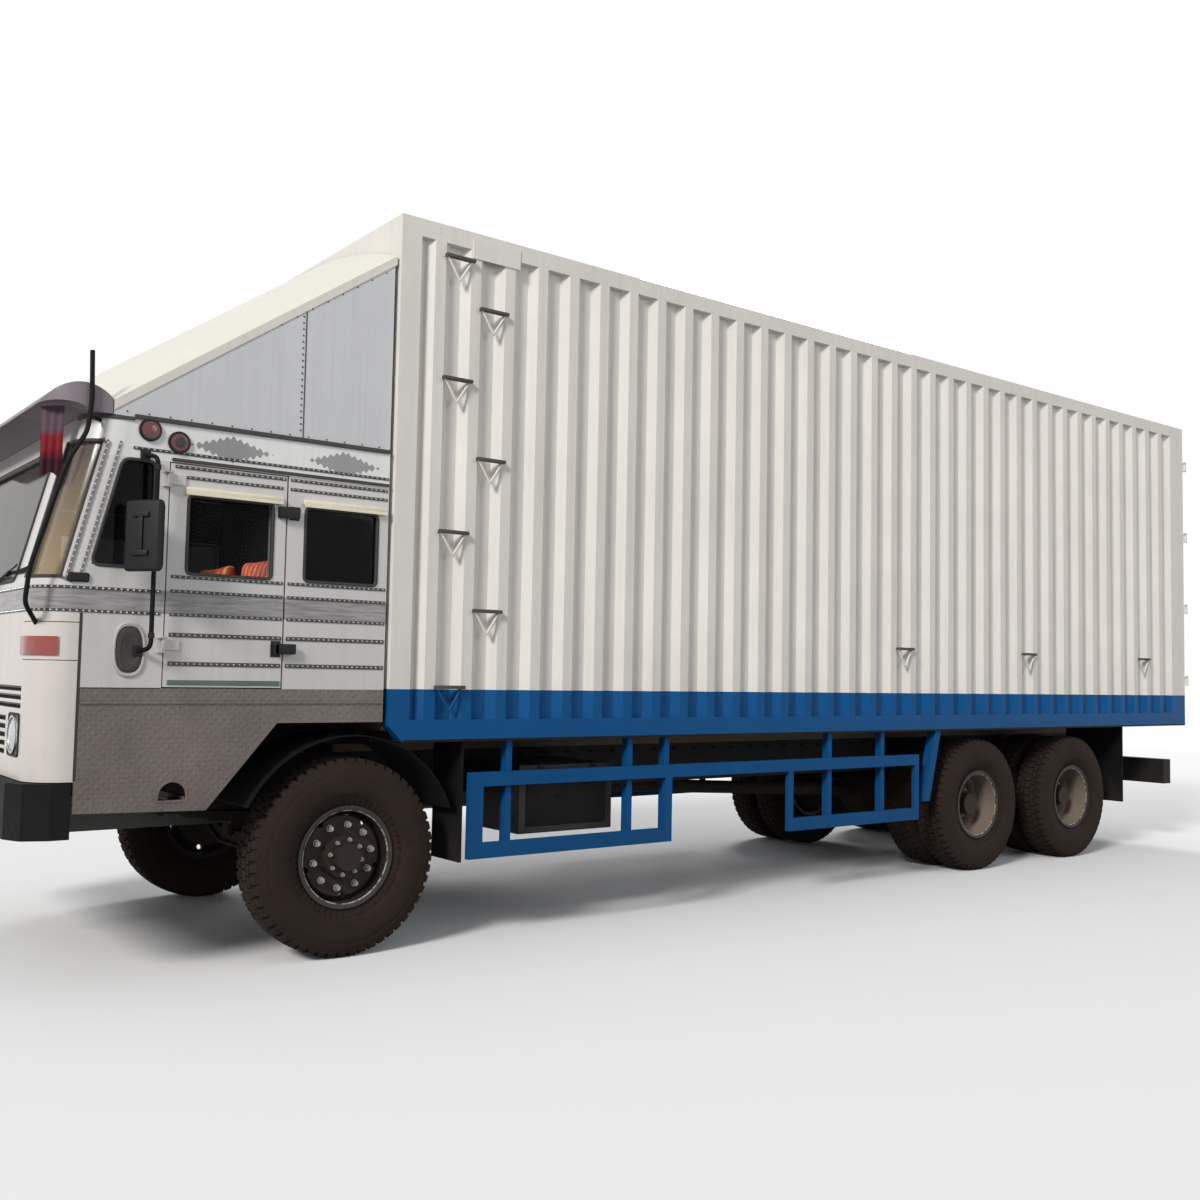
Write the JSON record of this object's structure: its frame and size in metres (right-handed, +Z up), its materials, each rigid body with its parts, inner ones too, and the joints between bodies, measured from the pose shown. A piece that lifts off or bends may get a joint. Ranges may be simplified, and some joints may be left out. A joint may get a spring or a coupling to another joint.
{
  "type": "truck",
  "caption": "Forward-cab refrigerated truck with a corrugated insulated box body, over-cab fairing, opening cab and rear doors, steered front wheels and twin rear wheels.",
  "frame": {"origin": "centre of the truck's outline on the ground plane under the tyres", "axes": "front towards -X, left side towards -Y, +Z up"},
  "size_m": [10.55, 2.879, 4.035],
  "materials": {
    "tyre": "matte",
    "rim_front": "satin",
    "rim_rear": "satin",
    "black_steel": "satin",
    "cast": "matte",
    "engine": "matte",
    "box_white": "satin",
    "box_roof": "satin",
    "box_floor": "matte",
    "blue": "satin",
    "cab_white": "gloss",
    "cab_floor": "matte",
    "glass": "gloss",
    "dash": "matte",
    "black_plastic": "satin",
    "seat": "matte",
    "skirt": "satin",
    "fairing_cream": "gloss",
    "fairing_grey": "satin",
    "visor": "satin",
    "lamp_clear": "gloss",
    "lamp_red": "gloss",
    "rubber": "matte",
    "tank": "satin"
  },
  "bodies": {
    "chassis": {"battery_box": "tank", "box_floor": "box_floor", "box_front": "box_white", "box_roof": "box_roof", "box_side_left": "box_white", "box_side_right": "box_white", "bumper": "black_steel", "cab_back": "cab_white", "cab_cowl": "cab_white", "cab_floor": "cab_floor", "cab_roof": "cab_white", "cab_side_left": "cab_white", "cab_side_right": "cab_white", "chassis_frame": "black_steel", "dashboard": "dash", "drive_shafts": "cast", "engine": "engine", "fairing_sides": "fairing_grey", "fairing_top": "fairing_cream", "front_axle": "cast", "front_tow_eye": "black_steel", "fuel_tank": "tank", "head_lamps": "lamp_clear", "leaf_springs": "cast", "marker_lamps": "lamp_red", "mirrors": "black_plastic", "mud_flaps": "rubber", "rear_axles": "cast", "rear_beam": "black_steel", "rear_frame": "blue", "rear_tow_eye": "black_steel", "seats": "seat", "side_glass": "glass", "side_guards": "blue", "side_steps": "box_white", "skirts": "skirt", "steering_wheel": "black_plastic", "tail_lamps": "lamp_red", "visor": "visor", "windscreen": "glass"},
    "front_knuckle_left": {"knuckle_left": "cast"},
    "front_wheel_left": {"front_tyre_left": "tyre", "front_rim_left": "rim_front"},
    "rear_wheel_left_1": {"twin_tyres_left_1": "tyre", "twin_rims_left_1": "rim_rear"},
    "rear_wheel_left_2": {"twin_tyres_left_2": "tyre", "twin_rims_left_2": "rim_rear"},
    "door_cab_left": {"cab_door_left": "cab_white", "door_glass_left": "glass"},
    "door_rear_left": {"rear_door_left": "box_white"},
    "front_knuckle_right": {"knuckle_right": "cast"},
    "front_wheel_right": {"front_tyre_right": "tyre", "front_rim_right": "rim_front"},
    "rear_wheel_right_1": {"twin_tyres_right_1": "tyre", "twin_rims_right_1": "rim_rear"},
    "rear_wheel_right_2": {"twin_tyres_right_2": "tyre", "twin_rims_right_2": "rim_rear"},
    "door_cab_right": {"cab_door_right": "cab_white", "door_glass_right": "glass"},
    "door_rear_right": {"rear_door_right": "box_white"}
  },
  "joints": [
    {"name": "steer_left", "type": "hinge", "parent": "chassis", "child": "front_knuckle_left", "pos_m": [-3.61, -0.86, 0.525], "axis": [0, 0, 1], "range_deg": [-35, 35]},
    {"name": "roll_front_left", "type": "hinge", "parent": "front_knuckle_left", "child": "front_wheel_left", "pos_m": [-3.61, -1.03, 0.525], "axis": [0, 1, 0], "continuous": true},
    {"name": "roll_rear_left_1", "type": "hinge", "parent": "chassis", "child": "rear_wheel_left_1", "pos_m": [1.95, -0.895, 0.525], "axis": [0, 1, 0], "continuous": true},
    {"name": "roll_rear_left_2", "type": "hinge", "parent": "chassis", "child": "rear_wheel_left_2", "pos_m": [3.32, -0.895, 0.525], "axis": [0, 1, 0], "continuous": true},
    {"name": "open_cab_door_left", "type": "hinge", "parent": "chassis", "child": "door_cab_left", "pos_m": [-4.64, -1.218, 1.95], "axis": [0, 0, -1], "range_deg": [0, 70]},
    {"name": "open_rear_door_left", "type": "hinge", "parent": "chassis", "child": "door_rear_left", "pos_m": [5.254, -1.23, 2.6], "axis": [0, 0, -1], "range_deg": [0, 240]},
    {"name": "steer_right", "type": "hinge", "parent": "chassis", "child": "front_knuckle_right", "pos_m": [-3.61, 0.86, 0.525], "axis": [0, 0, 1], "range_deg": [-35, 35]},
    {"name": "roll_front_right", "type": "hinge", "parent": "front_knuckle_right", "child": "front_wheel_right", "pos_m": [-3.61, 1.03, 0.525], "axis": [0, 1, 0], "continuous": true},
    {"name": "roll_rear_right_1", "type": "hinge", "parent": "chassis", "child": "rear_wheel_right_1", "pos_m": [1.95, 0.895, 0.525], "axis": [0, 1, 0], "continuous": true},
    {"name": "roll_rear_right_2", "type": "hinge", "parent": "chassis", "child": "rear_wheel_right_2", "pos_m": [3.32, 0.895, 0.525], "axis": [0, 1, 0], "continuous": true},
    {"name": "open_cab_door_right", "type": "hinge", "parent": "chassis", "child": "door_cab_right", "pos_m": [-4.64, 1.218, 1.95], "axis": [0, 0, 1], "range_deg": [0, 70]},
    {"name": "open_rear_door_right", "type": "hinge", "parent": "chassis", "child": "door_rear_right", "pos_m": [5.254, 1.23, 2.6], "axis": [0, 0, 1], "range_deg": [0, 240]}
  ],
  "couplings": [
    {"joint": "steer_right", "follows": "steer_left", "ratio": 1}
  ]
}
